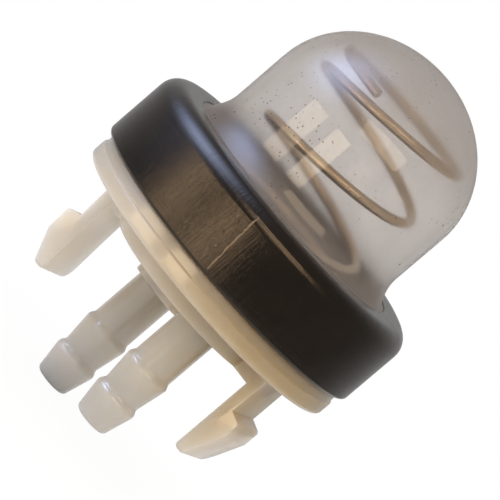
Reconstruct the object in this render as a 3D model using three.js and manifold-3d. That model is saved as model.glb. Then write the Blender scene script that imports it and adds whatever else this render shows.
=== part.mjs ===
// Snap-in fuel primer bulb for a small engine.
// Millimetres, +Z along the dome axis, origin on that axis at the underside of the base flange,
// which is the face that seats on the panel. The two snap legs lie along X.

import * as THREE from 'three';
import { mergeVertices } from 'three/addons/utils/BufferGeometryUtils.js';
import Module from 'manifold-3d';

const wasm = await Module();
wasm.setup();

// Clearance kept between pieces that rest on or fit inside each other
const fitGap = 0.3;

// Retaining ring
const ringRadius = 11.5;
const ringHeight = 5.43;
const ringTopRound = 1.35;
const ringFootRound = 0.25;
const ringLipThickness = 1.5;
const ringLipRound = 0.3;
const ringHoleRadius = 8.8;
const ringWall = 0.9;

// Base flange, with the small shoulder that shows below the ring
const flangeRadius = 11.13;
const flangeThickness = 1.8;
const flangeEdgeRound = 0.25;
const shoulderZ = 1.0;
const shoulderStep = 0.13;

// Plug inside the ring, the seat for the dome's rim and the platform that carries the spring
const domeRimThickness = 1.0;
const platformRadius = 6.4;
const platformTopZ = 5.3;

// Spigot under the flange that centres the base in its panel hole
const spigotRadius = 6.7;
const spigotDepth = 1.6;
const spigotRound = 0.15;

// Snap legs
const legInnerRadius = 7.62;
const legThickness = 0.8;
const legWidth = 4.5;
const legLength = 7.71;
const hookDepth = 0.95;
const hookLedgeZ = -3.4;
const hookLedgeFall = 0.28;
const hookFlat = 1.2;
const hookRound = 0.25;
const tipThickness = 0.72;
const tipRound = 0.28;
const tipCornerRound = 1.1;
const tipCornerSmall = 0.3;
const legSetIn = THREE.MathUtils.degToRad(3);
const setInHookFlat = 1.8;

// Nipples, one on the spigot and the other on a pad that makes it reach lower
const highNipple = { x: 2.92, y: -2.82 };
const lowNipple = { x: -2.72, y: 2.83 };
const nippleShaftRadius = 1.56;
const nippleBoreRadius = 0.75;
const nippleRootRound = 0.3;
const barbCrestRadii = [1.76, 1.7];
const barbValleyRadius = 1.44;
const barbTipRadius = 1.24;
const barbTipRound = 0.28;
const barbStep = 0.35;
const rootToFirstBarb = 4.42;
const barbPitch = 2.66;
const lastBarbLength = 2.27;
const padDepth = 1.65;
const padLowX = -4.45;
const padHighX = -0.1;
const padLowY = 1.1;
const padHighY = 4.6;
const padCornerRound = 0.9;

// Dome
const domeRadius = 7.77;
const domeWall = 0.7;
const domeShoulderZ = 13.36;
const domeCrown = 6.9;
const neckTopZ = 9.5;
const neckSteps = 5;
const crownSteps = 10;

// Return spring
const springRadius = 5.52;
const springWireRadius = 0.34;
const springOpenTurns = 2.48;
const springEndTurns = 0.7;
const springEaseTurns = 0.24;
const springTopRadius = 5.2;
const springStart = THREE.MathUtils.degToRad(-50);

// Check valve
const valveRadius = 4.7;
const valveThickness = 0.7;
const valveCrown = 0.35;
const valveStemRadius = 0.8;
const valveStemLength = 2.2;

// Smoothness
const roundSides = 56;
const smallSides = 28;
const wireSides = 8;
const springSteps = 92;
const largeCorner = 0.5;
const largeCornerSteps = 5;
const smallCornerSteps = 2;

// How far a cutter runs past the face that it opens
const cutterOverrun = 1;

// Sizes that follow from the ones above
const ringFootZ = flangeThickness + fitGap;
const ringTopZ = ringFootZ + ringHeight;
const ringLipZ = ringTopZ - ringLipThickness;
const ringBoreRadius = ringRadius - ringWall;
const plugRadius = ringBoreRadius - fitGap;
const domeRimTopZ = ringLipZ - fitGap;
const domeRimFootZ = domeRimTopZ - domeRimThickness;
const seatZ = domeRimFootZ - fitGap;
const domeNeckRadius = ringHoleRadius - fitGap;
const domeBoreRadius = domeRadius - domeWall;
const domeBoreCrown = domeCrown - domeWall;
const legOuterRadius = legInnerRadius + legThickness;
const hookRadius = legOuterRadius + hookDepth;
const valveFootZ = platformTopZ + fitGap;

// The spring stands on the platform and its top turn sits just under the dome's rounded crown
const springFootZ = platformTopZ + fitGap + springWireRadius;
const springClearRadius = springTopRadius + springWireRadius + fitGap;
const springSeatRise = domeBoreCrown * Math.sqrt(1 - (springClearRadius / domeBoreRadius) ** 2);
const springTopZ = domeShoulderZ + springSeatRise - springWireRadius / 2;
const springPitch = (springTopZ - springFootZ) / (springOpenTurns - springEaseTurns);

// A closed outline with its corners rounded. Each point is [x, y, radius].
function roundedOutline(points) {
  const outline = [];
  points.forEach(([x, y, radius = 0], i) => {
    const corner = new THREE.Vector2(x, y);
    if (radius === 0) {
      outline.push(corner);
      return;
    }
    const before = points[(i + points.length - 1) % points.length];
    const after = points[(i + 1) % points.length];
    const toBefore = new THREE.Vector2(before[0], before[1]).sub(corner).normalize();
    const toAfter = new THREE.Vector2(after[0], after[1]).sub(corner).normalize();
    const half = Math.acos(THREE.MathUtils.clamp(toBefore.dot(toAfter), -1, 1)) / 2;
    const start = corner.clone().addScaledVector(toBefore, radius / Math.tan(half));
    const middle = toBefore.clone().add(toAfter).normalize();
    const centre = corner.clone().addScaledVector(middle, radius / Math.sin(half));
    const turn = Math.PI - 2 * half;
    const side = Math.sign(toAfter.cross(toBefore));
    const steps = radius < largeCorner ? smallCornerSteps : largeCornerSteps;
    for (let k = 0; k <= steps; k += 1) {
      const angle = (side * turn * k) / steps;
      outline.push(start.clone().rotateAround(centre, angle));
    }
  });
  return outline;
}

// A body of revolution about Z. A profile off the axis is closed on itself.
function revolved(profile, sides, onAxis) {
  const points = onAxis ? profile : [...profile, profile[0].clone()];
  const geometry = new THREE.LatheGeometry(points, sides);
  return geometry.rotateX(Math.PI / 2);
}

// An outline in X and Z, pushed out evenly on both sides of the X-Z plane
function slab(outline, width) {
  const push = { depth: width, bevelEnabled: false };
  const geometry = new THREE.ExtrudeGeometry(new THREE.Shape(outline), push);
  return geometry.rotateX(Math.PI / 2).translate(0, width / 2, 0);
}

function toSolid(geometry) {
  const bare = geometry.clone();
  bare.deleteAttribute('normal');
  bare.deleteAttribute('uv');
  const merged = mergeVertices(bare);
  const index = Array.from(merged.index.array);
  const triangles = [];
  for (let i = 0; i < index.length; i += 3) {
    const [a, b, c] = index.slice(i, i + 3);
    if (a !== b && b !== c && c !== a) {
      triangles.push(a, b, c);
    }
  }
  const mesh = new wasm.Mesh({
    numProp: 3,
    vertProperties: Float32Array.from(merged.attributes.position.array),
    triVerts: Uint32Array.from(triangles),
  });
  return new wasm.Manifold(mesh);
}

function toGeometry(solid) {
  const mesh = solid.getMesh();
  const geometry = new THREE.BufferGeometry();
  geometry.setAttribute('position', new THREE.BufferAttribute(mesh.vertProperties, mesh.numProp));
  geometry.setIndex(new THREE.BufferAttribute(mesh.triVerts, 1));
  geometry.computeVertexNormals();
  return geometry;
}

// Flange, plug and spigot in one turn
function turnedBase() {
  const upperRadius = flangeRadius - shoulderStep;
  return revolved(roundedOutline([
    [0, -spigotDepth],
    [spigotRadius, -spigotDepth, spigotRound],
    [spigotRadius, 0],
    [flangeRadius, 0, flangeEdgeRound],
    [flangeRadius, shoulderZ],
    [upperRadius, shoulderZ + shoulderStep],
    [upperRadius, flangeThickness],
    [plugRadius, flangeThickness],
    [plugRadius, seatZ],
    [platformRadius, seatZ],
    [platformRadius, platformTopZ],
    [0, platformTopZ],
  ]), roundSides, true);
}

// One leg at +X: a flat tongue with an outward hook, and the web that joins it to the spigot
function snapLeg(flat) {
  const rootZ = flangeThickness / 2;
  const flatTopZ = hookLedgeZ - hookLedgeFall;
  const side = roundedOutline([
    [legInnerRadius, -legLength, tipRound],
    [legInnerRadius + tipThickness, -legLength, tipRound],
    [hookRadius, flatTopZ - flat, hookRound],
    [hookRadius, flatTopZ, hookRound],
    [legOuterRadius, hookLedgeZ],
    [legOuterRadius, rootZ],
    [legInnerRadius, rootZ],
  ]);
  const halfWidth = legWidth / 2;
  const front = roundedOutline([
    [-halfWidth, -legLength, tipCornerSmall],
    [halfWidth, -legLength, tipCornerRound],
    [halfWidth, rootZ],
    [-halfWidth, rootZ],
  ]);
  const reach = hookRadius + fitGap;
  const frontSlab = slab(front, 2 * reach).rotateZ(Math.PI / 2);
  const web = slab(roundedOutline([
    [spigotRadius / 2, -spigotDepth],
    [legInnerRadius + legThickness / 2, -spigotDepth],
    [legInnerRadius + legThickness / 2, rootZ],
    [spigotRadius / 2, rootZ],
  ]), legWidth);
  return { tongue: toSolid(slab(side, legWidth)).intersect(toSolid(frontSlab)), web: toSolid(web) };
}

// A two-step hose nipple hanging from rootZ, with its root sunk into the base
function nipple(rootZ) {
  const firstCrestZ = rootZ - rootToFirstBarb;
  const secondCrestZ = firstCrestZ - barbPitch;
  const tipZ = secondCrestZ - lastBarbLength;
  return revolved(roundedOutline([
    [0, tipZ],
    [barbTipRadius, tipZ, barbTipRound],
    [barbCrestRadii[1], secondCrestZ],
    [barbValleyRadius, secondCrestZ + barbStep],
    [barbCrestRadii[0], firstCrestZ],
    [nippleShaftRadius, firstCrestZ + barbStep],
    [nippleShaftRadius, rootZ, nippleRootRound],
    [nippleShaftRadius + 2 * nippleRootRound, rootZ],
    [nippleShaftRadius + 2 * nippleRootRound, rootZ + nippleRootRound],
    [0, rootZ + nippleRootRound],
  ]), smallSides, true);
}

function bore(x, y, radius, lowZ, highZ) {
  const cutter = new THREE.CylinderGeometry(radius, radius, highZ - lowZ, smallSides);
  return toSolid(cutter.rotateX(Math.PI / 2).translate(x, y, (lowZ + highZ) / 2));
}

function makeBase() {
  const padZ = -spigotDepth - padDepth;
  const nipples = [{ ...highNipple, rootZ: -spigotDepth }, { ...lowNipple, rootZ: padZ }];
  let body = toSolid(turnedBase());

  const padOutline = roundedOutline([
    [padLowX, padLowY, padCornerRound],
    [padHighX, padLowY, padCornerRound],
    [padHighX, padHighY, padCornerRound],
    [padLowX, padHighY, padCornerRound],
  ]);
  const padPush = { depth: padDepth + spigotDepth / 2, bevelEnabled: false };
  const pad = new THREE.ExtrudeGeometry(new THREE.Shape(padOutline), padPush);
  body = body.add(toSolid(pad.translate(0, 0, padZ)));

  const leg = snapLeg(hookFlat);
  body = body.add(leg.tongue).add(leg.web);
  const setIn = new THREE.Matrix4().makeTranslation(legInnerRadius, 0, 0)
    .multiply(new THREE.Matrix4().makeRotationY(legSetIn))
    .multiply(new THREE.Matrix4().makeTranslation(-legInnerRadius, 0, 0));
  const mirror = new THREE.Matrix4().makeScale(-1, 1, 1);
  const setInLeg = snapLeg(setInHookFlat);
  body = body.add(setInLeg.tongue.transform(mirror.clone().multiply(setIn).elements));
  body = body.add(setInLeg.web.transform(mirror.elements));

  for (const { x, y, rootZ } of nipples) {
    body = body.add(toSolid(nipple(rootZ).translate(x, y, 0)));
  }
  for (const { x, y, rootZ } of nipples) {
    const lowZ = rootZ - rootToFirstBarb - barbPitch - lastBarbLength - cutterOverrun;
    body = body.subtract(bore(x, y, nippleBoreRadius, lowZ, platformTopZ + cutterOverrun));
  }
  const stemHoleFloorZ = valveFootZ - valveStemLength - fitGap;
  body = body.subtract(bore(0, 0, valveStemRadius + fitGap, stemHoleFloorZ, platformTopZ + cutterOverrun));
  return toGeometry(body);
}

function makeRing() {
  return revolved(roundedOutline([
    [ringBoreRadius, ringFootZ],
    [ringRadius, ringFootZ, ringFootRound],
    [ringRadius, ringTopZ, ringTopRound],
    [ringHoleRadius, ringTopZ, ringLipRound],
    [ringHoleRadius, ringLipZ],
    [ringBoreRadius, ringLipZ],
  ]), roundSides, false);
}

// Quarter of an ellipse from the cylinder's top edge to the axis
function crown(radius, height) {
  const points = [];
  for (let k = 0; k <= crownSteps; k += 1) {
    const angle = (Math.PI / 2) * (k / crownSteps);
    const r = k === crownSteps ? 0 : radius * Math.cos(angle);
    points.push(new THREE.Vector2(r, domeShoulderZ + height * Math.sin(angle)));
  }
  return points;
}

function makeDome() {
  const neck = [];
  for (let k = 0; k <= neckSteps; k += 1) {
    const t = k / neckSteps;
    const z = THREE.MathUtils.lerp(ringTopZ, neckTopZ, t);
    neck.push(new THREE.Vector2(domeRadius + (domeNeckRadius - domeRadius) * (1 - t) ** 2, z));
  }
  const outer = [
    new THREE.Vector2(plugRadius, domeRimFootZ),
    new THREE.Vector2(plugRadius, domeRimTopZ),
    new THREE.Vector2(domeNeckRadius, domeRimTopZ),
    ...neck,
    ...crown(domeRadius, domeCrown),
  ];
  const inner = [
    ...crown(domeBoreRadius, domeBoreCrown).reverse(),
    new THREE.Vector2(domeBoreRadius, domeRimFootZ),
    new THREE.Vector2(plugRadius, domeRimFootZ),
  ];
  return new THREE.LatheGeometry([...outer, ...inner], roundSides).rotateX(Math.PI / 2);
}

// Compression spring with flat end turns, easing into the open pitch between them
class SpringCurve extends THREE.Curve {
  constructor() {
    super();
    this.turns = springOpenTurns + 2 * springEndTurns;
  }

  // Height gained after a number of open turns
  rise(openTurns) {
    const turn = THREE.MathUtils.clamp(openTurns, 0, springOpenTurns);
    if (turn < springEaseTurns) {
      return (springPitch * turn ** 2) / (2 * springEaseTurns);
    }
    if (turn > springOpenTurns - springEaseTurns) {
      return springPitch * (springOpenTurns - springEaseTurns) - this.rise(springOpenTurns - turn);
    }
    return springPitch * (turn - springEaseTurns / 2);
  }

  getPoint(t, target = new THREE.Vector3()) {
    const turn = t * this.turns;
    const angle = springStart + 2 * Math.PI * turn;
    const lastTurn = THREE.MathUtils.smoothstep(turn, this.turns - 1, this.turns - springEndTurns);
    const radius = THREE.MathUtils.lerp(springRadius, springTopRadius, lastTurn);
    const z = springFootZ + this.rise(turn - springEndTurns);
    return target.set(radius * Math.cos(angle), radius * Math.sin(angle), z);
  }
}

function makeSpring() {
  const wire = new THREE.Shape();
  for (let k = 0; k < wireSides; k += 1) {
    const angle = (2 * Math.PI * k) / wireSides;
    const x = springWireRadius * Math.cos(angle);
    const y = springWireRadius * Math.sin(angle);
    if (k === 0) {
      wire.moveTo(x, y);
    } else {
      wire.lineTo(x, y);
    }
  }
  const path = { steps: springSteps, bevelEnabled: false, extrudePath: new SpringCurve() };
  return new THREE.ExtrudeGeometry(wire, path);
}

function makeValve() {
  const stemFootZ = valveFootZ - valveStemLength;
  return revolved(roundedOutline([
    [0, stemFootZ],
    [valveStemRadius, stemFootZ],
    [valveStemRadius, valveFootZ],
    [valveRadius, valveFootZ],
    [valveRadius, valveFootZ + valveThickness / 2, valveThickness / 4],
    [valveRadius / 2, valveFootZ + valveThickness],
    [0, valveFootZ + valveThickness + valveCrown],
  ]), roundSides, true);
}

const primerBulb = new THREE.Group();

function addPiece(name, geometry, look) {
  const mesh = new THREE.Mesh(geometry, new THREE.MeshStandardMaterial(look));
  mesh.name = name;
  primerBulb.add(mesh);
}

const naturalNylon = { color: 0xb5a68c, roughness: 0.45, metalness: 0 };
const blackPlastic = { color: 0x1f1c1a, roughness: 0.3, metalness: 0 };
const clearPlastic = { color: 0xc8bfb8, roughness: 0.08, metalness: 0, transparent: true, opacity: 0.35 };
const springSteel = { color: 0x8a8a90, roughness: 0.3, metalness: 1 };
const blackRubber = { color: 0x23242a, roughness: 0.6, metalness: 0 };

addPiece('base_body', makeBase(), naturalNylon);
addPiece('retaining_ring', makeRing(), blackPlastic);
addPiece('bulb_dome', makeDome(), clearPlastic);
addPiece('return_spring', makeSpring(), springSteel);
addPiece('check_valve', makeValve(), blackRubber);

export default primerBulb;
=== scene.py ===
"""Dresses the snap-in primer bulb: looks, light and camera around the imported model.

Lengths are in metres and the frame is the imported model's: +Z runs along the dome's axis,
the snap legs lie along X and the origin is at the underside of the flange.
"""
import math

import bmesh
import bpy
from mathutils import Matrix, Vector


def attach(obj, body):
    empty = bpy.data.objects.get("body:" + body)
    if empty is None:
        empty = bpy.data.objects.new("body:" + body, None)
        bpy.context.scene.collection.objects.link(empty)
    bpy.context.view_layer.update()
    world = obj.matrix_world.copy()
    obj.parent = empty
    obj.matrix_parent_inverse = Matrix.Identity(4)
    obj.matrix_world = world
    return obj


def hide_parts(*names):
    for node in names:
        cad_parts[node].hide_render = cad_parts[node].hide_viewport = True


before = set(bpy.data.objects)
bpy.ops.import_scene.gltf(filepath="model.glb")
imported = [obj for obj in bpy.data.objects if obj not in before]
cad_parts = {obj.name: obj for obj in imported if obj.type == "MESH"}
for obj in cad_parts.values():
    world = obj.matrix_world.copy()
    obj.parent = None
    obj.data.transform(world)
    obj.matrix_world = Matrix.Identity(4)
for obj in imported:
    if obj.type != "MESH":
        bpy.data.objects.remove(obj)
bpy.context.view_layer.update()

MM = 0.001

# Sizes repeated from the part's source, in millimetres. The SHOWN_ ones depart from it a little,
# to close a fit gap or soften an edge where that shows.
RING_RADIUS = 11.5
RING_FOOT_Z = 2.1
RING_HEIGHT = 5.43
RING_TOP_ROUND = 1.35
RING_FOOT_ROUND = 0.25
RING_LIP = 1.5
SHOWN_LIP_ROUND = 0.1
RING_HOLE_RADIUS = 8.8
RING_WALL = 0.9
RING_TOP_Z = RING_FOOT_Z + RING_HEIGHT
RING_LIP_Z = RING_TOP_Z - RING_LIP
RING_BORE_RADIUS = RING_RADIUS - RING_WALL

FIT_GAP = 0.3
PLUG_RADIUS = RING_BORE_RADIUS - FIT_GAP
FLANGE_RADIUS = 11.13
FLANGE_THICKNESS = 1.8
SHOWN_FOOT_Z = FLANGE_THICKNESS + 0.08
SHOULDER_Z = 1.0
SHOULDER_STEP = 0.13
PLATFORM_RADIUS = 6.4
PLATFORM_TOP_Z = 5.3
SPIGOT_RADIUS = 6.7
SPIGOT_DEPTH = 1.6

LEG_INNER_RADIUS = 7.62
LEG_THICKNESS = 0.8
LEG_WIDTH = 4.5
LEG_LENGTH = 7.71
HOOK_DEPTH = 0.95
HOOK_LEDGE_Z = -3.4
HOOK_LEDGE_FALL = 0.28
HOOK_FLAT = 1.2
SET_IN_HOOK_FLAT = 1.8
LEG_TIP_THICKNESS = 0.72
LEG_TIP_ROUND = 0.28
HOOK_ROUND = 0.25
LEG_CORNER_ROUNDS = (0.3, 1.1)
LEG_SET_IN = math.radians(3)

HIGH_NIPPLE = (2.92, -2.82)
LOW_NIPPLE = (-2.72, 2.83)
NIPPLE_SHAFT_RADIUS = 1.56
NIPPLE_BORE_RADIUS = 0.75
SHOWN_ROOT_ROUND = 0.15
BARB_CREST_RADII = (1.76, 1.7)
BARB_VALLEY_RADIUS = 1.44
BARB_TIP_RADIUS = 1.24
BARB_STEP = 0.35
BARB_TIP_ROUND = 0.28
SHOWN_CREST_ROUND = 0.5
SHOWN_VALLEY_ROUND = 0.45
ROOT_TO_FIRST_BARB = 4.42
BARB_PITCH = 2.66
LAST_BARB = 2.27
PAD_DEPTH = 1.65
PAD_LOW = (-4.45, 1.1)
PAD_HIGH = (-0.1, 4.6)
PAD_CORNER_ROUND = 0.9

CUTTER_OVERRUN = 1.0
BORE_REACH = 12.0
JOIN_MARGIN = 0.02

DOME_RADIUS = 7.77
DOME_WALL = 0.7
DOME_SHOULDER_Z = 13.36
DOME_CROWN = 6.9
SHOWN_GAP = 0.02
DOME_NECK_RADIUS = RING_HOLE_RADIUS - FIT_GAP
DOME_NECK_TOP_Z = 9.5
DOME_RIM_TOP_Z = RING_LIP_Z - FIT_GAP
DOME_RIM_THICKNESS = 1.0
DOME_RIM_FOOT_Z = DOME_RIM_TOP_Z - DOME_RIM_THICKNESS

SPRING_RADIUS = 5.52
SPRING_TOP_RADIUS = 5.2
SPRING_WIRE = 0.34
SPRING_OPEN_TURNS = 2.48
SPRING_END_TURNS = 0.7
SPRING_EASE_TURNS = 0.24
SPRING_START = math.radians(-50)
SPRING_FOOT_Z = PLATFORM_TOP_Z + FIT_GAP + SPRING_WIRE
SPRING_CLEAR = (SPRING_TOP_RADIUS + SPRING_WIRE + FIT_GAP) / (DOME_RADIUS - DOME_WALL)
SPRING_SEAT_RISE = (DOME_CROWN - DOME_WALL) * math.sqrt(1 - SPRING_CLEAR ** 2)
SPRING_TOP_Z = DOME_SHOULDER_Z + SPRING_SEAT_RISE - SPRING_WIRE / 2
SPRING_PITCH = (SPRING_TOP_Z - SPRING_FOOT_Z) / (SPRING_OPEN_TURNS - SPRING_EASE_TURNS)

VALVE_RADIUS = 4.7
VALVE_THICKNESS = 0.7
VALVE_CROWN = 0.35
VALVE_FOOT_Z = PLATFORM_TOP_Z + FIT_GAP
VALVE_STEM_RADIUS = 0.8
VALVE_STEM_LENGTH = 2.2

# Smoothness of the visible meshes
ROUND_SEGMENTS = 192
SMALL_SEGMENTS = 72
BORE_SEGMENTS = 48
CORNER_STEPS = 8
EDGE_ROUND = 0.13

# The worn lines on the ring: angles in turns about Z, heights in millimetres
SCUFF_TURN = -75.4 / 360
SCUFF_SLANT = 0.00105
SCUFF_MIDDLE_Z = 4.5
SCUFF_HALF_LENGTH = 2.2
SCUFF_CORNER_Z = 6.72
SCUFF_ARC = (-66 / 360, 10.5 / 360)

# The photograph's camera, as fitted to the part: turn about Z, elevation and distance
CAMERA_TURN = math.radians(18.25)
CAMERA_ELEVATION = math.radians(7.4)
CAMERA_DISTANCE = 265.0
CAMERA_CENTRE_Z = 4.7
CAMERA_LENS = 297.4
SENSOR = 36.0
VIEW_AIM = (0.27, 0.09, 3.5)
IMAGE_TURN = math.radians(-49.5)

# Light levels: the room as plain light and in gloss, the backdrop's share in gloss, the cool glow
ROOM_STRENGTH = 0.7
ROOM_IN_GLOSS = 0.12
BACKDROP_SHARE = 0.35
SKY_AIM = (-84, 36)
SKY_TIGHTNESS = 10.0
SKY_STRENGTH = 0.9
SKY_IN_GLOSS = 10.5
SKY_COLOUR = (0.45, 0.60, 1.0)
ROOM_COLOUR = (1.0, 0.965, 0.93)
WARM = (1.0, 0.78, 0.53)
LIGHT_DISTANCE = 400.0
LIGHT_AIM_Z = 6.0

FLOOR_RADIUS = 60.0
FLOOR_IN_GLOSS = 0.3
FLOOR_GAP = 0.02


# Geometry helpers

def arc_profile(points, steps=CORNER_STEPS):
    """Rounds the corners of a closed (r, z) outline. Each point is (x, y) or (x, y, radius)."""
    outline = []
    count = len(points)
    for i, point in enumerate(points):
        corner = Vector(point[:2])
        radius = point[2] if len(point) > 2 else 0
        if radius == 0:
            outline.append(corner)
            continue
        back = (Vector(points[i - 1][:2]) - corner).normalized()
        ahead = (Vector(points[(i + 1) % count][:2]) - corner).normalized()
        half = back.angle(ahead) / 2
        start = corner + back * (radius / math.tan(half))
        centre = corner + (back + ahead).normalized() * (radius / math.sin(half))
        side = math.copysign(1, ahead.x * back.y - ahead.y * back.x)
        turn = math.pi - 2 * half
        for k in range(steps + 1):
            angle = side * turn * k / steps
            arm = start - centre
            arm.rotate(Matrix.Rotation(angle, 2))
            outline.append(centre + arm)
    return outline


def new_object(name, mesh):
    obj = bpy.data.objects.new(name, mesh)
    bpy.context.scene.collection.objects.link(obj)
    return obj


def mesh_object(name, vertices, faces):
    """Makes an object from points in millimetres, with its faces turned outwards."""
    mesh = bpy.data.meshes.new(name)
    mesh.from_pydata([[c * MM for c in v] for v in vertices], [], faces)
    work = bmesh.new()
    work.from_mesh(mesh)
    bmesh.ops.remove_doubles(work, verts=work.verts, dist=1e-8)
    bmesh.ops.recalc_face_normals(work, faces=work.faces)
    work.to_mesh(mesh)
    work.free()
    return new_object(name, mesh)


def revolve(name, profile, segments=ROUND_SEGMENTS, centre=(0, 0)):
    """A closed body of revolution about a line parallel to Z, from a closed (r, z) outline."""
    vertices = []
    rings = []
    for r, z in profile:
        if r < 1e-6:
            rings.append([len(vertices)] * segments)
            vertices.append((centre[0], centre[1], z))
            continue
        rings.append([len(vertices) + k for k in range(segments)])
        for k in range(segments):
            angle = 2 * math.pi * k / segments
            vertices.append((centre[0] + r * math.cos(angle), centre[1] + r * math.sin(angle), z))
    faces = []
    for i, low in enumerate(rings):
        high = rings[(i + 1) % len(rings)]
        for k in range(segments):
            n = (k + 1) % segments
            corners = []
            for corner in (low[k], low[n], high[n], high[k]):
                if corner not in corners:
                    corners.append(corner)
            if len(corners) > 2:
                faces.append(corners)
    return mesh_object(name, vertices, faces)


def prism(name, outline, depth, place):
    """Pushes a closed outline out by depth, then places it with a function from (u, v, w) to a point."""
    count = len(outline)
    vertices = [place(u, v, w) for w in (0, depth) for u, v in outline]
    faces = [list(range(count))[::-1], list(range(count, 2 * count))]
    for k in range(count):
        n = (k + 1) % count
        faces.append([k, n, count + n, count + k])
    return mesh_object(name, vertices, faces)


def boolean(target, tool, operation):
    """Joins or cuts target with tool and removes tool."""
    modifier = target.modifiers.new(operation, "BOOLEAN")
    modifier.operation = operation
    modifier.solver = "EXACT"
    modifier.object = tool
    apply_modifiers(target)
    bpy.data.objects.remove(tool)


def apply_modifiers(obj):
    depsgraph = bpy.context.evaluated_depsgraph_get()
    mesh = bpy.data.meshes.new_from_object(obj.evaluated_get(depsgraph))
    old = obj.data
    obj.modifiers.clear()
    obj.data = mesh
    bpy.data.meshes.remove(old)


def smooth(obj, degrees=35):
    """Smooth shading that stays sharp at edges over the angle."""
    mesh = obj.data
    mesh.polygons.foreach_set("use_smooth", [True] * len(mesh.polygons))
    mesh.set_sharp_from_angle(angle=math.radians(degrees))


def soften_edges(obj, width=EDGE_ROUND, degrees=32):
    bevel = obj.modifiers.new("edge_round", "BEVEL")
    bevel.width = width * MM
    bevel.segments = 3
    bevel.limit_method = "ANGLE"
    bevel.angle_limit = math.radians(degrees)
    bevel.use_clamp_overlap = True
    bevel.harden_normals = False
    apply_modifiers(obj)


# Pieces

def make_ring():
    profile = arc_profile([
        (RING_BORE_RADIUS, SHOWN_FOOT_Z),
        (RING_RADIUS, SHOWN_FOOT_Z, RING_FOOT_ROUND),
        (RING_RADIUS, RING_TOP_Z, RING_TOP_ROUND),
        (RING_HOLE_RADIUS, RING_TOP_Z, SHOWN_LIP_ROUND),
        (RING_HOLE_RADIUS, RING_LIP_Z),
        (RING_BORE_RADIUS, RING_LIP_Z),
    ])
    ring = revolve("ring_skin", profile)
    smooth(ring)
    return ring


def dome_crown(radius, height, steps):
    """Quarter of an ellipse from the axis out to the cylinder's top edge."""
    points = []
    for k in range(steps + 1):
        angle = math.pi / 2 * (1 - k / steps)
        r = 0 if k == 0 else radius * math.cos(angle)
        points.append((r, DOME_SHOULDER_Z + height * math.sin(angle)))
    return points


def neck_radius(z):
    """The neck flares towards the ring's hole as a parabola."""
    t = min(max((z - RING_TOP_Z) / (DOME_NECK_TOP_Z - RING_TOP_Z), 0), 1)
    return DOME_RADIUS + (DOME_NECK_RADIUS - DOME_RADIUS) * (1 - t) ** 2


def make_dome():
    crown_steps = 40
    neck_steps = 24
    inner_radius = DOME_RADIUS - DOME_WALL
    outer = dome_crown(DOME_RADIUS, DOME_CROWN, crown_steps)
    for k in range(1, neck_steps + 1):
        z = DOME_NECK_TOP_Z + (RING_TOP_Z - DOME_NECK_TOP_Z) * k / neck_steps
        outer.append((neck_radius(z), z))
    outer.insert(crown_steps + 1, (DOME_RADIUS, DOME_NECK_TOP_Z))
    lip = RING_HOLE_RADIUS - SHOWN_GAP
    rim = [
        ((DOME_NECK_RADIUS + lip) / 2, RING_TOP_Z - 0.03),
        (lip, RING_TOP_Z - 0.07),
        (lip, DOME_RIM_TOP_Z),
        (PLUG_RADIUS, DOME_RIM_TOP_Z),
        (PLUG_RADIUS, DOME_RIM_FOOT_Z),
        (inner_radius, DOME_RIM_FOOT_Z),
    ]
    inner = dome_crown(inner_radius, DOME_CROWN - DOME_WALL, crown_steps)[::-1]
    dome = revolve("dome_shell", [*outer, *rim, *inner])
    smooth(dome, 40)
    return dome


def spring_rise(turns):
    """Height gained after a number of open turns, with an eased start and end."""
    turn = min(max(turns, 0), SPRING_OPEN_TURNS)
    if turn < SPRING_EASE_TURNS:
        return SPRING_PITCH * turn ** 2 / (2 * SPRING_EASE_TURNS)
    if turn > SPRING_OPEN_TURNS - SPRING_EASE_TURNS:
        straight = SPRING_PITCH * (SPRING_OPEN_TURNS - SPRING_EASE_TURNS)
        return straight - spring_rise(SPRING_OPEN_TURNS - turn)
    return SPRING_PITCH * (turn - SPRING_EASE_TURNS / 2)


def make_spring():
    """A round wire swept along the wound line, with cut ends."""
    steps = 420
    sides = 20
    turns = SPRING_OPEN_TURNS + 2 * SPRING_END_TURNS
    line = []
    for k in range(steps + 1):
        turn = turns * k / steps
        angle = SPRING_START + 2 * math.pi * turn
        ease = min(max((turn - turns + 1) / (1 - SPRING_END_TURNS), 0), 1)
        ease = ease * ease * (3 - 2 * ease)
        radius = SPRING_RADIUS + (SPRING_TOP_RADIUS - SPRING_RADIUS) * ease
        z = SPRING_FOOT_Z + spring_rise(turn - SPRING_END_TURNS)
        line.append(Vector((radius * math.cos(angle), radius * math.sin(angle), z)))
    vertices = []
    faces = []
    for k, point in enumerate(line):
        along = (line[min(k + 1, steps)] - line[max(k - 1, 0)]).normalized()
        out = Vector((point.x, point.y, 0)).normalized()
        side = along.cross(out).normalized()
        out = side.cross(along)
        for j in range(sides):
            angle = 2 * math.pi * j / sides
            vertices.append(point + SPRING_WIRE * (out * math.cos(angle) + side * math.sin(angle)))
    for k in range(steps):
        for j in range(sides):
            n = (j + 1) % sides
            faces.append([k * sides + j, k * sides + n, (k + 1) * sides + n, (k + 1) * sides + j])
    faces.append(list(range(sides)))
    faces.append([steps * sides + j for j in range(sides)])
    spring = mesh_object("spring_wire", vertices, faces)
    smooth(spring, 50)
    return spring


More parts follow.
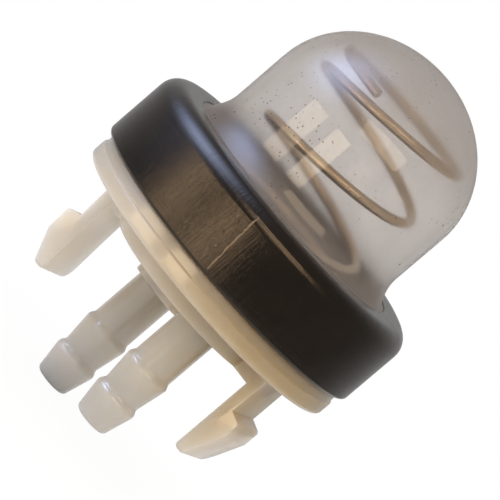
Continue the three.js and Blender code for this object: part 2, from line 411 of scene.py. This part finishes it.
def make_valve():
    profile = arc_profile([
        (0, VALVE_FOOT_Z - VALVE_STEM_LENGTH),
        (VALVE_STEM_RADIUS, VALVE_FOOT_Z - VALVE_STEM_LENGTH),
        (VALVE_STEM_RADIUS, VALVE_FOOT_Z),
        (VALVE_RADIUS, VALVE_FOOT_Z),
        (VALVE_RADIUS, VALVE_FOOT_Z + VALVE_THICKNESS / 2, VALVE_THICKNESS / 4),
        (VALVE_RADIUS / 2, VALVE_FOOT_Z + VALVE_THICKNESS),
        (0, VALVE_FOOT_Z + VALVE_THICKNESS + VALVE_CROWN),
    ])
    valve = revolve("valve_skin", profile, SMALL_SEGMENTS)
    smooth(valve)
    return valve


def nipple(name, centre, root_z):
    first_z = root_z - ROOT_TO_FIRST_BARB
    second_z = first_z - BARB_PITCH
    tip_z = second_z - LAST_BARB
    root_radius = NIPPLE_SHAFT_RADIUS + SHOWN_ROOT_ROUND
    profile = arc_profile([
        (0, tip_z),
        (BARB_TIP_RADIUS, tip_z, BARB_TIP_ROUND),
        (BARB_CREST_RADII[1], second_z, SHOWN_CREST_ROUND),
        (BARB_VALLEY_RADIUS, second_z + BARB_STEP, SHOWN_VALLEY_ROUND),
        (BARB_CREST_RADII[0], first_z, SHOWN_CREST_ROUND),
        (NIPPLE_SHAFT_RADIUS, first_z + BARB_STEP, SHOWN_VALLEY_ROUND),
        (NIPPLE_SHAFT_RADIUS, root_z, SHOWN_ROOT_ROUND),
        (root_radius, root_z),
        (root_radius, root_z + SHOWN_ROOT_ROUND),
        (0, root_z + SHOWN_ROOT_ROUND),
    ])
    return revolve(name, profile, SMALL_SEGMENTS, centre)


def leg_outline(flat):
    hook_radius = LEG_INNER_RADIUS + LEG_THICKNESS + HOOK_DEPTH
    flat_top = HOOK_LEDGE_Z - HOOK_LEDGE_FALL
    root_z = FLANGE_THICKNESS / 2
    return arc_profile([
        (LEG_INNER_RADIUS, -LEG_LENGTH, LEG_TIP_ROUND),
        (LEG_INNER_RADIUS + LEG_TIP_THICKNESS, -LEG_LENGTH, LEG_TIP_ROUND),
        (hook_radius, flat_top - flat, HOOK_ROUND),
        (hook_radius, flat_top, HOOK_ROUND),
        (LEG_INNER_RADIUS + LEG_THICKNESS, HOOK_LEDGE_Z),
        (LEG_INNER_RADIUS + LEG_THICKNESS, root_z),
        (LEG_INNER_RADIUS, root_z),
    ], 5)


def make_leg(side):
    """One snap leg: its side outline and its front outline intersected, with its web."""
    half = LEG_WIDTH / 2
    root_z = FLANGE_THICKNESS / 2
    reach = FLANGE_RADIUS

    def lean(x, z):
        if side > 0:
            return x, z
        dx = x - LEG_INNER_RADIUS
        c, s = math.cos(LEG_SET_IN), math.sin(LEG_SET_IN)
        return LEG_INNER_RADIUS + c * dx + s * z, c * z - s * dx

    def place_side(u, v, w):
        x, z = lean(u, v)
        return side * x, half + JOIN_MARGIN - w, z

    def place_front(u, v, w):
        x, z = lean(w, v)
        return side * x, u, z

    outline = leg_outline(HOOK_FLAT if side > 0 else SET_IN_HOOK_FLAT)
    tongue = prism("tongue", outline, LEG_WIDTH + 2 * JOIN_MARGIN, place_side)
    front = arc_profile([
        (-half, -LEG_LENGTH - JOIN_MARGIN, LEG_CORNER_ROUNDS[0]),
        (half, -LEG_LENGTH - JOIN_MARGIN, LEG_CORNER_ROUNDS[1]),
        (half, root_z + JOIN_MARGIN),
        (-half, root_z + JOIN_MARGIN),
    ], 6)
    boolean(tongue, prism("front", front, reach, place_front), "INTERSECT")
    inner = SPIGOT_RADIUS / 2
    outer = LEG_INNER_RADIUS + LEG_THICKNESS / 2
    web_outline = [(inner, -SPIGOT_DEPTH), (outer, -SPIGOT_DEPTH), (outer, root_z), (inner, root_z)]
    web_width = LEG_WIDTH - 2 * JOIN_MARGIN
    web = prism("web", web_outline, web_width, lambda u, v, w: (side * u, web_width / 2 - w, v))
    boolean(tongue, web, "UNION")
    return tongue


def make_base():
    """The one-piece base: turned body, legs, pad and nipples joined, then bored."""
    upper = FLANGE_RADIUS - SHOULDER_STEP
    profile = arc_profile([
        (0, -SPIGOT_DEPTH),
        (SPIGOT_RADIUS, -SPIGOT_DEPTH, 0.15),
        (SPIGOT_RADIUS, 0, 0.12),
        (FLANGE_RADIUS, 0, 0.25),
        (FLANGE_RADIUS, SHOULDER_Z, 0.05),
        (upper, SHOULDER_Z + SHOULDER_STEP, 0.05),
        (upper, FLANGE_THICKNESS, 0.1),
        (PLUG_RADIUS, FLANGE_THICKNESS),
        (PLUG_RADIUS, DOME_RIM_FOOT_Z - FIT_GAP),
        (PLATFORM_RADIUS, DOME_RIM_FOOT_Z - FIT_GAP),
        (PLATFORM_RADIUS, PLATFORM_TOP_Z, 0.2),
        (0, PLATFORM_TOP_Z),
    ], 5)
    base = revolve("base_skin", profile)
    pad_z = -SPIGOT_DEPTH - PAD_DEPTH
    pad_outline = arc_profile([
        (PAD_LOW[0], PAD_LOW[1], PAD_CORNER_ROUND),
        (PAD_HIGH[0], PAD_LOW[1], PAD_CORNER_ROUND),
        (PAD_HIGH[0], PAD_HIGH[1], PAD_CORNER_ROUND),
        (PAD_LOW[0], PAD_HIGH[1], PAD_CORNER_ROUND),
    ])
    pad_push = PAD_DEPTH + SPIGOT_DEPTH / 2
    boolean(base, prism("pad", pad_outline, pad_push, lambda u, v, w: (u, v, pad_z + w)), "UNION")
    for side in (1, -1):
        boolean(base, make_leg(side), "UNION")
    nipples = (("high_nipple", HIGH_NIPPLE, -SPIGOT_DEPTH), ("low_nipple", LOW_NIPPLE, pad_z))
    for name, centre, root_z in nipples:
        boolean(base, nipple(name, centre, root_z), "UNION")
    for name, centre, root_z in nipples:
        depth = root_z - BORE_REACH
        cutter = revolve(name + "_bore", [
            (0, depth),
            (NIPPLE_BORE_RADIUS, depth),
            (NIPPLE_BORE_RADIUS, PLATFORM_TOP_Z + CUTTER_OVERRUN),
            (0, PLATFORM_TOP_Z + CUTTER_OVERRUN),
        ], BORE_SEGMENTS, centre)
        boolean(base, cutter, "DIFFERENCE")
    stem = revolve("stem_hole", [
        (0, VALVE_FOOT_Z - VALVE_STEM_LENGTH - FIT_GAP),
        (VALVE_STEM_RADIUS + FIT_GAP, VALVE_FOOT_Z - VALVE_STEM_LENGTH - FIT_GAP),
        (VALVE_STEM_RADIUS + FIT_GAP, PLATFORM_TOP_Z + CUTTER_OVERRUN),
        (0, PLATFORM_TOP_Z + CUTTER_OVERRUN),
    ], BORE_SEGMENTS)
    boolean(base, stem, "DIFFERENCE")
    soften_edges(base)
    smooth(base, 40)
    return base


# Material helpers

class Nodes:
    """Short calls for building one material's node tree."""

    def __init__(self, name):
        self.material = bpy.data.materials.new(name)
        self.material.use_nodes = True
        self.tree = self.material.node_tree
        self.tree.nodes.clear()
        self.output = self.tree.nodes.new("ShaderNodeOutputMaterial")
        self.position = self.tree.nodes.new("ShaderNodeTexCoord").outputs["Object"]

    def node(self, kind, inputs=None, **settings):
        made = self.tree.nodes.new(kind)
        for key, value in settings.items():
            setattr(made, key, value)
        for key, value in (inputs or {}).items():
            self.put(made.inputs[key], value)
        return made

    def put(self, socket, value):
        if isinstance(value, bpy.types.NodeSocket):
            self.tree.links.new(value, socket)
        else:
            socket.default_value = value

    def math(self, operation, a, b=0.0, clamp=False):
        made = self.node("ShaderNodeMath", {0: a, 1: b}, operation=operation, use_clamp=clamp)
        return made.outputs[0]

    def scaled(self, scale):
        """Object coordinates in metres times a scale for each axis."""
        return self.node("ShaderNodeMapping", {"Vector": self.position, "Scale": scale}).outputs[0]

    def noise(self, scale, detail=4.0, roughness=0.55, vector=None, distortion=0.0):
        made = self.node("ShaderNodeTexNoise", {
            "Vector": vector or self.position,
            "Scale": scale,
            "Detail": detail,
            "Roughness": roughness,
            "Distortion": distortion,
        })
        return made.outputs["Fac"]

    def cells(self, scale):
        made = self.node("ShaderNodeTexVoronoi", {"Vector": self.position, "Scale": scale})
        return made.outputs["Distance"]

    def ramp(self, value, *stops):
        """Stops are (position, grey) or (position, (r, g, b))."""
        made = self.node("ShaderNodeValToRGB", {"Fac": value})
        elements = made.color_ramp.elements
        while len(elements) < len(stops):
            elements.new(0.5)
        for element, (place, tone) in zip(elements, stops):
            element.position = place
            rgb = tone if isinstance(tone, tuple) else (tone, tone, tone)
            element.color = (*rgb, 1)
        return made.outputs["Color"]

    def blend(self, factor, a, b, mode="MIX"):
        made = self.node("ShaderNodeMix", data_type="RGBA", blend_type=mode)
        self.put(made.inputs["Factor"], factor)
        for key, value in (("A", a), ("B", b)):
            socket = next(s for s in made.inputs if s.name == key and s.type == "RGBA")
            rgba = (*value, 1) if isinstance(value, tuple) and len(value) == 3 else value
            self.put(socket, rgba)
        return next(s for s in made.outputs if s.type == "RGBA")

    def bump(self, height, distance, strength=1.0, normal=None):
        inputs = {"Height": height, "Distance": distance, "Strength": strength}
        if normal is not None:
            inputs["Normal"] = normal
        return self.node("ShaderNodeBump", inputs).outputs[0]

    def cylinder(self):
        """Angle about Z in turns (-0.5 to 0.5) and height in millimetres."""
        split = self.node("ShaderNodeSeparateXYZ", {0: self.position})
        angle = self.math("ARCTAN2", split.outputs["Y"], split.outputs["X"])
        turns = self.math("DIVIDE", angle, 2 * math.pi)
        height = self.math("MULTIPLY", split.outputs["Z"], 1 / MM)
        return turns, height

    def principled(self, inputs):
        return self.node("ShaderNodeBsdfPrincipled", inputs).outputs[0]

    def finish(self, shader):
        self.tree.links.new(shader, self.output.inputs["Surface"])
        return self.material


def set_material(obj, material):
    obj.data.materials.clear()
    obj.data.materials.append(material)
    for slot in obj.material_slots:
        slot.material = material


# Materials

def black_plastic():
    """Satin black moulding with fine axial scratches and an L-shaped scuff."""
    n = Nodes("black_plastic")
    turns, height = n.cylinder()
    axial = n.node("ShaderNodeCombineXYZ", {
        "X": n.math("MULTIPLY", turns, 520.0),
        "Y": n.math("MULTIPLY", height, 0.22),
    })
    fine = n.noise(1.0, 4.0, 0.75, axial.outputs[0], 0.2)
    lines = n.ramp(fine, (0.42, 0.0), (0.62, 1.0))
    wide = n.node("ShaderNodeCombineXYZ", {
        "X": n.math("MULTIPLY", turns, 14.0),
        "Y": n.math("MULTIPLY", height, 5.0),
    })
    loops = n.noise(1.0, 4.0, 0.6, wide.outputs[0], 0.5)
    grain = n.noise(9000.0, 3.0)
    patches = n.noise(260.0, 3.0)
    colour = n.ramp(patches, (0.3, (0.009, 0.0075, 0.0065)), (0.75, (0.017, 0.0135, 0.0115)))
    specks = n.ramp(n.cells(900.0), (0.02, 1.0), (0.035, 0.0))
    sparse = n.ramp(n.noise(500.0, 1.0), (0.6, 0.0), (0.66, 1.0))
    speck_mask = n.math("MULTIPLY", specks, sparse)
    colour = n.blend(speck_mask, colour, (0.30, 0.26, 0.21))
    scuff = scuff_mask(n, turns, height)
    colour = n.blend(scuff, colour, (0.20, 0.142, 0.09))
    rough = n.math("ADD", n.math("MULTIPLY", lines, 0.15), 0.03)
    rough = n.math("ADD", rough, n.math("MULTIPLY", grain, 0.04))
    rough = n.math("MAXIMUM", rough, n.math("MULTIPLY", scuff, 0.6))
    relief = n.math("ADD", n.math("MULTIPLY", fine, 0.7), n.math("MULTIPLY", loops, 0.35))
    bump = n.bump(relief, 0.00004, 0.65)
    bump = n.bump(grain, 0.000004, 0.4, bump)
    bump = n.bump(scuff, 0.00004, 0.8, bump)
    shader = n.principled({
        "Base Color": colour,
        "Roughness": rough,
        "Normal": bump,
        "Specular IOR Level": 0.5,
        "Specular Tint": (1.0, 0.86, 0.72, 1),
    })
    return n.finish(shader)


def band(n, value, middle, half, soft):
    """1 where value is within half of middle, fading over soft."""
    away = n.math("ABSOLUTE", n.math("SUBTRACT", value, middle))
    return n.math("SUBTRACT", 1.0, n.math("DIVIDE", n.math("SUBTRACT", away, half), soft, clamp=True))


def scuff_mask(n, turns, height):
    """Two thin worn lines on the ring: a jagged one along the axis and one under the top round."""
    jag = n.noise(1500.0, 4.0, 0.8)
    shift = n.math("MULTIPLY", n.math("SUBTRACT", jag, 0.5), 0.0055)
    slant = n.math("MULTIPLY", n.math("SUBTRACT", height, SCUFF_MIDDLE_Z), SCUFF_SLANT)
    along = n.math("ADD", n.math("ADD", turns, shift), slant)
    width = n.math("MULTIPLY", jag, 0.0012)
    line = band(n, along, SCUFF_TURN, width, 0.0004)
    line = n.math("MULTIPLY", line, band(n, height, SCUFF_MIDDLE_Z, SCUFF_HALF_LENGTH, 0.1))
    broken = n.ramp(n.noise(1500.0, 2.0), (0.36, 0.0), (0.46, 1.0))
    line = n.math("MULTIPLY", line, n.math("ADD", n.math("MULTIPLY", broken, 0.6), 0.4))
    low = n.math("ADD", height, n.math("MULTIPLY", n.math("SUBTRACT", jag, 0.5), 0.07))
    ring_line = band(n, low, SCUFF_CORNER_Z, 0.012, 0.018)
    ring_line = n.math("MULTIPLY", ring_line, band(n, turns, *SCUFF_ARC, 0.004))
    ring_line = n.math("MULTIPLY", ring_line, n.math("ADD", n.math("MULTIPLY", broken, 0.5), 0.35))
    return n.math("MAXIMUM", line, ring_line, clamp=True)


def natural_nylon():
    """Unpigmented nylon: milky, warm, slightly translucent, with faint flow marks and specks, and with
    painted light and shade: lighter and greyer low down and on the -X side, darker and warmer up at the
    flange and on the +X side.
    """
    n = Nodes("natural_nylon")
    clouds = n.noise(180.0, 3.0, 0.5)
    mottling = n.noise(1400.0, 3.0, 0.6)
    split = n.node("ShaderNodeSeparateXYZ", {0: n.position}).outputs
    # Painted light and shade: the colour below runs lighter and greyer low down on the legs and nipples
    # and on the -X side, which faces the windows, and darker and warmer up at the flange and on the +X
    # side.
    drift = n.math("MULTIPLY", n.math("SUBTRACT", clouds, 0.5), 0.006)
    across = n.node("ShaderNodeMapRange", {
        "Value": n.math("ADD", split["X"], drift),
        "From Min": -9 * MM,
        "From Max": 9 * MM,
    }, interpolation_type="SMOOTHSTEP").outputs[0]
    upward = n.node("ShaderNodeMapRange", {
        "Value": n.math("ADD", split["Z"], drift),
        "From Min": -11 * MM,
        "From Max": -1 * MM,
        "To Min": 0.15,
    }, interpolation_type="SMOOTHSTEP").outputs[0]
    painted_shade_share = n.math("MULTIPLY", n.math("ADD", n.math("MULTIPLY", across, 0.7), 0.3), upward)
    colour = n.blend(painted_shade_share, (0.70, 0.67, 0.635), (0.37, 0.29, 0.18))
    colour = n.blend(n.math("MULTIPLY", mottling, 0.22), colour, (0.56, 0.51, 0.43))
    specks = n.ramp(n.cells(700.0), (0.02, 1.0), (0.04, 0.0))
    sparse = n.ramp(n.noise(420.0, 1.0), (0.62, 0.0), (0.66, 1.0))
    colour = n.blend(n.math("MULTIPLY", specks, sparse), colour, (0.16, 0.10, 0.055))
    grain = n.noise(7000.0, 3.0)
    waves = n.noise(900.0, 2.0)
    rough = n.math("ADD", n.math("MULTIPLY", waves, 0.12), 0.12)
    bump = n.bump(waves, 0.00002, 0.2)
    bump = n.bump(grain, 0.000004, 0.25, bump)
    shader = n.principled({
        "Base Color": colour,
        "Roughness": rough,
        "Normal": bump,
        "Specular IOR Level": 0.5,
        "Coat Weight": 0.4,
        "Coat Roughness": 0.09,
        "Coat IOR": 1.6,
        "Coat Normal": bump,
        "Subsurface Weight": 1.0,
        "Subsurface Radius": (0.0058, 0.0050, 0.0038),
        "Subsurface Scale": 1.0,
    })
    return n.finish(shader)


def clear_plastic():
    """Smoky clear moulding with a milky haze, dust and dirt specks."""
    n = Nodes("clear_plastic")
    waves = n.noise(160.0, 2.0)
    grain = n.noise(5200.0, 2.0)
    clouds = n.noise(300.0, 3.0)
    bump = n.bump(waves, 0.00010, 0.3)
    bump = n.bump(grain, 0.000002, 0.2, bump)
    tint = n.ramp(clouds, (0.3, (0.60, 0.565, 0.54)), (0.7, (0.66, 0.63, 0.605)))
    glass = n.principled({
        "Base Color": tint,
        "Roughness": 0.5,
        "IOR": 1.03,
        "Transmission Weight": 1.0,
        "Coat Weight": 1.0,
        "Coat IOR": 1.55,
        "Coat Roughness": 0.03,
        "Coat Normal": bump,
    })
    milky = (0.50, 0.455, 0.43, 1)
    lit = n.node("ShaderNodeBsdfDiffuse", {"Color": milky}).outputs[0]
    through = n.node("ShaderNodeBsdfTranslucent", {"Color": milky}).outputs[0]
    milk = n.node("ShaderNodeMixShader", {0: 0.5, 1: lit, 2: through}).outputs[0]
    dirt = n.principled({"Base Color": (0.09, 0.06, 0.04, 1), "Roughness": 0.9, "Normal": bump})
    specks = n.ramp(n.cells(900.0), (0.04, 1.0), (0.08, 0.0))
    sparse = n.ramp(n.noise(260.0, 2.0), (0.47, 0.0), (0.53, 1.0))
    dots = n.ramp(n.cells(2800.0), (0.10, 1.0), (0.2, 0.0))
    grimy = n.ramp(n.noise(170.0, 3.0, 0.7), (0.52, 0.0), (0.62, 1.0))
    dirt_mask = n.math("MULTIPLY", specks, sparse)
    dirt_mask = n.math("MAXIMUM", dirt_mask, n.math("MULTIPLY", n.math("MULTIPLY", dots, grimy), 0.8))
    dust = n.ramp(n.noise(2600.0, 3.0), (0.45, 0.0), (0.8, 1.0))
    haze = n.math("ADD", n.math("MULTIPLY", dust, 0.10), 0.15)
    height = n.cylinder()[1]

    def thicker(clear_z, hazy_z, most):
        return n.node("ShaderNodeMapRange", {
            "Value": height,
            "From Min": clear_z,
            "From Max": hazy_z,
            "To Min": 0.0,
            "To Max": most,
        }, interpolation_type="SMOOTHSTEP").outputs[0]

    neck = thicker(9.6, 7.6, 0.38)
    crown = thicker(14.0, 18.5, 0.26)
    haze = n.math("ADD", haze, n.math("ADD", neck, crown))
    rim = n.math("POWER", n.node("ShaderNodeLayerWeight", {"Blend": 0.5}).outputs["Facing"], 4.0)
    haze = n.math("ADD", haze, n.math("MULTIPLY", rim, 0.2), clamp=True)
    hazy = n.node("ShaderNodeMixShader", {0: haze, 1: glass, 2: milk}).outputs[0]
    whole = n.node("ShaderNodeMixShader", {0: dirt_mask, 1: hazy, 2: dirt}).outputs[0]
    return n.finish(whole)


def clear_plastic_inside():
    """The dome's inner face, where only a faint oily film shows."""
    n = Nodes("clear_plastic_inside")
    film = n.noise(420.0, 4.0, 0.6)
    grain = n.noise(2600.0, 3.0)
    tint = n.ramp(grain, (0.3, (0.96, 0.95, 0.94)), (0.7, (1.0, 1.0, 1.0)))
    glass = n.principled({
        "Base Color": tint,
        "Roughness": 0.5,
        "IOR": 1.03,
        "Transmission Weight": 1.0,
    })
    stain = n.node("ShaderNodeBsdfDiffuse", {"Color": (0.30, 0.24, 0.19, 1)}).outputs[0]
    share = n.math("MULTIPLY", n.ramp(film, (0.55, 0.0), (0.8, 1.0)), 0.16)
    return n.finish(n.node("ShaderNodeMixShader", {0: share, 1: glass, 2: stain}).outputs[0])


def spring_steel():
    """Drawn steel wire with a brown oily film and fine lines along the wire."""
    n = Nodes("spring_steel")
    lines = n.noise(2600.0, 3.0, 0.6, n.scaled((1.0, 1.0, 3.0)))
    film = n.noise(420.0, 4.0, 0.6)
    colour = n.ramp(film, (0.35, (0.46, 0.33, 0.20)), (0.65, (0.66, 0.53, 0.38)))
    colour = n.blend(n.math("MULTIPLY", lines, 0.35), colour, (0.26, 0.20, 0.15))
    rough = n.math("ADD", n.math("MULTIPLY", lines, 0.22), 0.18)
    bump = n.bump(lines, 0.00002, 0.35)
    shader = n.principled({
        "Base Color": colour,
        "Metallic": 1.0,
        "Roughness": rough,
        "Normal": bump,
    })
    return n.finish(shader)


def black_rubber():
    n = Nodes("black_rubber")
    grain = n.noise(3000.0, 4.0)
    colour = n.ramp(n.noise(500.0, 3.0), (0.3, (0.02, 0.02, 0.023)), (0.7, (0.035, 0.034, 0.037)))
    shader = n.principled({
        "Base Color": colour,
        "Roughness": n.math("ADD", n.math("MULTIPLY", grain, 0.2), 0.5),
        "Normal": n.bump(grain, 0.00002, 0.3),
    })
    return n.finish(shader)


# Dress the frame

def dress(piece, node, material):
    set_material(piece, material)
    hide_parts(node)
    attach(piece, "root")


def line_inside(dome, material):
    """Gives the faces that look towards the dome's axis their own material."""
    dome.data.materials.append(material)
    inner_radius = (DOME_RADIUS - DOME_WALL) * MM
    shoulder = DOME_SHOULDER_Z * MM
    half = DOME_WALL * MM / 2
    for face in dome.data.polygons:
        rise = max(face.center.z - shoulder, 0) / (DOME_CROWN - DOME_WALL) * (DOME_RADIUS - DOME_WALL)
        reach = math.hypot(face.center.x, face.center.y, rise)
        if reach < inner_radius + half:
            face.material_index = 1


dress(make_base(), "base_body", natural_nylon())
dress(make_ring(), "retaining_ring", black_plastic())
dome = make_dome()
dress(dome, "bulb_dome", clear_plastic())
line_inside(dome, clear_plastic_inside())
dress(make_spring(), "return_spring", spring_steel())
dress(make_valve(), "check_valve", black_rubber())


# Camera

def camera_axes():
    """Right and away directions of the photograph's camera, turned about Z only."""
    right = Vector((math.cos(CAMERA_TURN), math.sin(CAMERA_TURN), 0))
    away = Vector((-math.sin(CAMERA_TURN), math.cos(CAMERA_TURN), 0))
    return right, away


def make_camera():
    right, away = camera_axes()
    forward = away * math.cos(CAMERA_ELEVATION) - Vector((0, 0, math.sin(CAMERA_ELEVATION)))
    centre = Vector((0, 0, CAMERA_CENTRE_Z))
    place = centre - forward * CAMERA_DISTANCE
    look = (Vector(VIEW_AIM) - place).normalized()
    side = look.cross(Vector((0, 0, 1))).normalized()
    up = side.cross(look)
    turn_x = side * math.cos(IMAGE_TURN) - up * math.sin(IMAGE_TURN)
    turn_y = side * math.sin(IMAGE_TURN) + up * math.cos(IMAGE_TURN)
    basis = Matrix((turn_x, turn_y, -look)).transposed().to_4x4()
    camera = bpy.data.cameras.new("photo_camera")
    camera.lens = CAMERA_LENS
    camera.sensor_width = SENSOR
    camera.clip_start = 0.01
    camera.clip_end = 20
    obj = new_object("photo_camera", camera)
    obj.matrix_world = Matrix.Translation(place * MM) @ basis
    bpy.context.scene.camera = obj


# Light: a white backdrop, a dim room, two warm window panes with one above, and a cool soft light

def direction(azimuth, elevation):
    """Azimuth from the camera's side of the part, positive to the right, both in degrees."""
    right, away = camera_axes()
    a, e = math.radians(azimuth), math.radians(elevation)
    return (right * math.sin(a) - away * math.cos(a)) * math.cos(e) + Vector((0, 0, math.sin(e)))


def make_world():
    """White where the camera or a refracted ray looks, and a dim room with a cool glow for the rest."""
    world = bpy.data.worlds.new("studio")
    bpy.context.scene.world = world
    world.use_nodes = True
    tree = world.node_tree
    tree.nodes.clear()

    def add(kind, inputs=None, **settings):
        made = tree.nodes.new(kind)
        for key, value in settings.items():
            setattr(made, key, value)
        for key, value in (inputs or {}).items():
            if isinstance(value, bpy.types.NodeSocket):
                tree.links.new(value, made.inputs[key])
            else:
                made.inputs[key].default_value = value
        return made.outputs[0]

    path = tree.nodes.new("ShaderNodeLightPath").outputs
    ray = tree.nodes.new("ShaderNodeTexCoord").outputs["Generated"]
    shown = {0: path["Is Camera Ray"], 1: path["Is Transmission Ray"]}
    seen = add("ShaderNodeMath", shown, operation="MAXIMUM")

    def facing(aim):
        made = tree.nodes.new("ShaderNodeVectorMath")
        made.operation = "DOT_PRODUCT"
        tree.links.new(ray, made.inputs[0])
        made.inputs[1].default_value = aim
        return made.outputs["Value"]

    behind = add("ShaderNodeMapRange", {
        "Value": facing(camera_axes()[1]),
        "From Min": 0.2,
        "From Max": 0.95,
        "To Max": BACKDROP_SHARE,
    })
    share = add("ShaderNodeMath", {0: path["Is Glossy Ray"], 1: behind, 2: seen}, operation="MULTIPLY_ADD")
    glow = add("ShaderNodeMath", {0: facing(direction(*SKY_AIM)), 1: 0.0}, operation="MAXIMUM")
    glow = add("ShaderNodeMath", {0: glow, 1: SKY_TIGHTNESS}, operation="POWER")
    level = add("ShaderNodeMapRange", {
        "Value": path["Is Glossy Ray"],
        "To Min": SKY_STRENGTH,
        "To Max": SKY_IN_GLOSS,
    })
    glow = add("ShaderNodeMath", {0: glow, 1: level}, operation="MULTIPLY")
    dim = add("ShaderNodeMapRange", {
        "Value": path["Is Glossy Ray"],
        "To Min": ROOM_STRENGTH,
        "To Max": ROOM_IN_GLOSS,
    })
    room = add("ShaderNodeBackground", {"Color": (*ROOM_COLOUR, 1), "Strength": dim})
    sky = add("ShaderNodeBackground", {"Color": (*SKY_COLOUR, 1), "Strength": glow})
    lit = add("ShaderNodeAddShader", {0: room, 1: sky})
    white = add("ShaderNodeBackground", {"Color": (1, 1, 1, 1), "Strength": 1.0})
    mixed = add("ShaderNodeMixShader", {0: share, 1: lit, 2: white})
    output = tree.nodes.new("ShaderNodeOutputWorld")
    tree.links.new(mixed, output.inputs["Surface"])


def softbox(name, azimuth, elevation, width, height, radiance):
    """A warm flat light that faces the part. Width and height are the angles it fills, in degrees."""
    light = bpy.data.lights.new(name, "AREA")
    light.shape = "RECTANGLE"
    light.size = 2 * LIGHT_DISTANCE * MM * math.tan(math.radians(width / 2))
    light.size_y = 2 * LIGHT_DISTANCE * MM * math.tan(math.radians(height / 2))
    light.energy = radiance * math.pi * light.size * light.size_y
    light.color = WARM
    light.spread = math.pi
    obj = new_object(name, light)
    aim = direction(azimuth, elevation)
    obj.location = (aim * LIGHT_DISTANCE + Vector((0, 0, LIGHT_AIM_Z))) * MM
    obj.rotation_mode = "QUATERNION"
    obj.rotation_quaternion = aim.to_track_quat("Z", "Y")


def make_lights():
    softbox("window_left", -55, -9, 24, 20, 3.3)
    softbox("window_right", -19, -9, 20, 20, 4.2)
    softbox("window_top", 12, 28, 50, 20, 3.4)


def make_floor():
    """A pale floor just under the nipples' tips that keeps a faint shadow of the part."""
    low = -SPIGOT_DEPTH - PAD_DEPTH - ROOT_TO_FIRST_BARB - BARB_PITCH - LAST_BARB - FLOOR_GAP
    count = 96
    vertices = [(0, 0, low)]
    for k in range(count):
        angle = 2 * math.pi * k / count
        vertices.append((FLOOR_RADIUS * math.cos(angle), FLOOR_RADIUS * math.sin(angle), low))
    faces = [[0, 1 + k, 1 + (k + 1) % count] for k in range(count)]
    mesh = bpy.data.meshes.new("floor")
    mesh.from_pydata([[c * MM for c in v] for v in vertices], [], faces)
    floor = new_object("floor", mesh)
    n = Nodes("pale_floor")
    path = n.node("ShaderNodeLightPath")
    seen = n.math("MAXIMUM", path.outputs["Is Camera Ray"], path.outputs["Is Transmission Ray"])
    seen = n.math("MAXIMUM", seen, n.math("MULTIPLY", path.outputs["Is Glossy Ray"], FLOOR_IN_GLOSS))
    radius = n.node("ShaderNodeVectorMath", {0: n.position}, operation="LENGTH").outputs["Value"]
    rim = n.node("ShaderNodeMapRange", {
        "Value": radius,
        "From Min": 0.35 * FLOOR_RADIUS * MM,
        "From Max": 0.9 * FLOOR_RADIUS * MM,
        "To Min": 0.9,
        "To Max": 1.0,
    }).outputs[0]
    matt = n.node("ShaderNodeBsdfDiffuse", {"Color": (0.82, 0.82, 0.82, 1)}).outputs[0]
    glow = n.node("ShaderNodeEmission", {"Color": (1, 1, 1, 1), "Strength": 1.04}).outputs[0]
    share = n.math("MULTIPLY", seen, rim)
    mixed = n.node("ShaderNodeMixShader", {0: share, 1: matt, 2: glow}).outputs[0]
    set_material(floor, n.finish(mixed))


make_camera()
make_world()
make_lights()
make_floor()

bpy.context.scene.view_settings.view_transform = "Standard"
